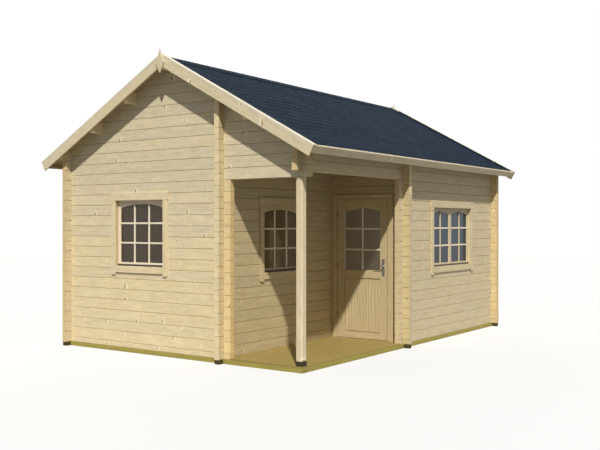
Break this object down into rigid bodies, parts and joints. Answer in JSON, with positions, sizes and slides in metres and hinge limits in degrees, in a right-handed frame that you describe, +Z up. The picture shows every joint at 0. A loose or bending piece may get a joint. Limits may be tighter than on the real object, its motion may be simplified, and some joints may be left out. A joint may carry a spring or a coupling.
{
  "type": "log cabin",
  "caption": "Log cabin of stacked machined logs with lapped corners, a covered corner porch with a post, a shingled gable roof, arched windows and a glazed door with a lever handle.",
  "frame": {"origin": "middle of the cabin's plan at ground level", "axes": "+Z up, -Y towards the front gable with the porch at its +X side, +X towards the right wall"},
  "size_m": [4.614, 6.0228, 3.8763],
  "materials": {
    "spruce": "planed, untreated",
    "treated_wood": "sawn, green pressure treated",
    "deck_wood": "planed, pressure treated",
    "shingle": "mineral-coated bitumen, matt",
    "foot_rubber": "matt",
    "black_metal": "satin black",
    "steel": "brushed",
    "glass": "clear pane"
  },
  "bodies": {
    "cabin": {"foundation_beams": "treated_wood", "corner_feet": "foot_rubber", "room_floor": "spruce", "porch_floor": "deck_wood", "left_wall": "spruce", "right_wall": "spruce", "front_wall": "spruce", "front_gable": "spruce", "rear_wall": "spruce", "rear_gable": "spruce", "porch_side_wall": "spruce", "porch_back_wall_left": "spruce", "porch_back_wall_right": "spruce", "porch_back_wall_over": "spruce", "purlins": "spruce", "roof_boards_left": "spruce", "roof_boards_right": "spruce", "shingles_left": "shingle", "shingles_right": "shingle", "ridge_strip": "shingle", "front_bargeboards": "spruce", "rear_bargeboards": "spruce", "bargeboard_caps": "spruce", "eave_fascias": "spruce", "finials": "spruce", "front_window_frame": "spruce", "front_window_casing": "spruce", "front_window_sash": "spruce", "front_window_glass": "glass", "porch_window_frame": "spruce", "porch_window_casing": "spruce", "porch_window_sash": "spruce", "porch_window_glass": "glass", "side_window_frame": "spruce", "side_window_casing": "spruce", "side_window_sash": "spruce", "side_window_glass": "glass", "door_frame": "spruce", "door_casing": "spruce", "frame_hinges": "black_metal", "porch_post": "spruce", "post_shoe": "black_metal"},
    "door": {"door_leaf": "spruce", "door_glass": "glass", "leaf_hinges": "black_metal", "handle_plates": "steel"},
    "lever": {"lever_handle": "steel"}
  },
  "joints": [
    {"name": "door_hinge", "type": "hinge", "parent": "cabin", "child": "door", "pos_m": [0.9439, -0.384, 1], "axis": [0, 0, -1], "range_deg": [0, 90]},
    {"name": "lever_turn", "type": "hinge", "parent": "door", "child": "lever", "pos_m": [1.6966, -0.3525, 1.106], "axis": [0, -1, 0], "range_deg": [0, 40], "stiffness_Nm_per_rad": 1, "springref_deg": -34.38}
  ]
}
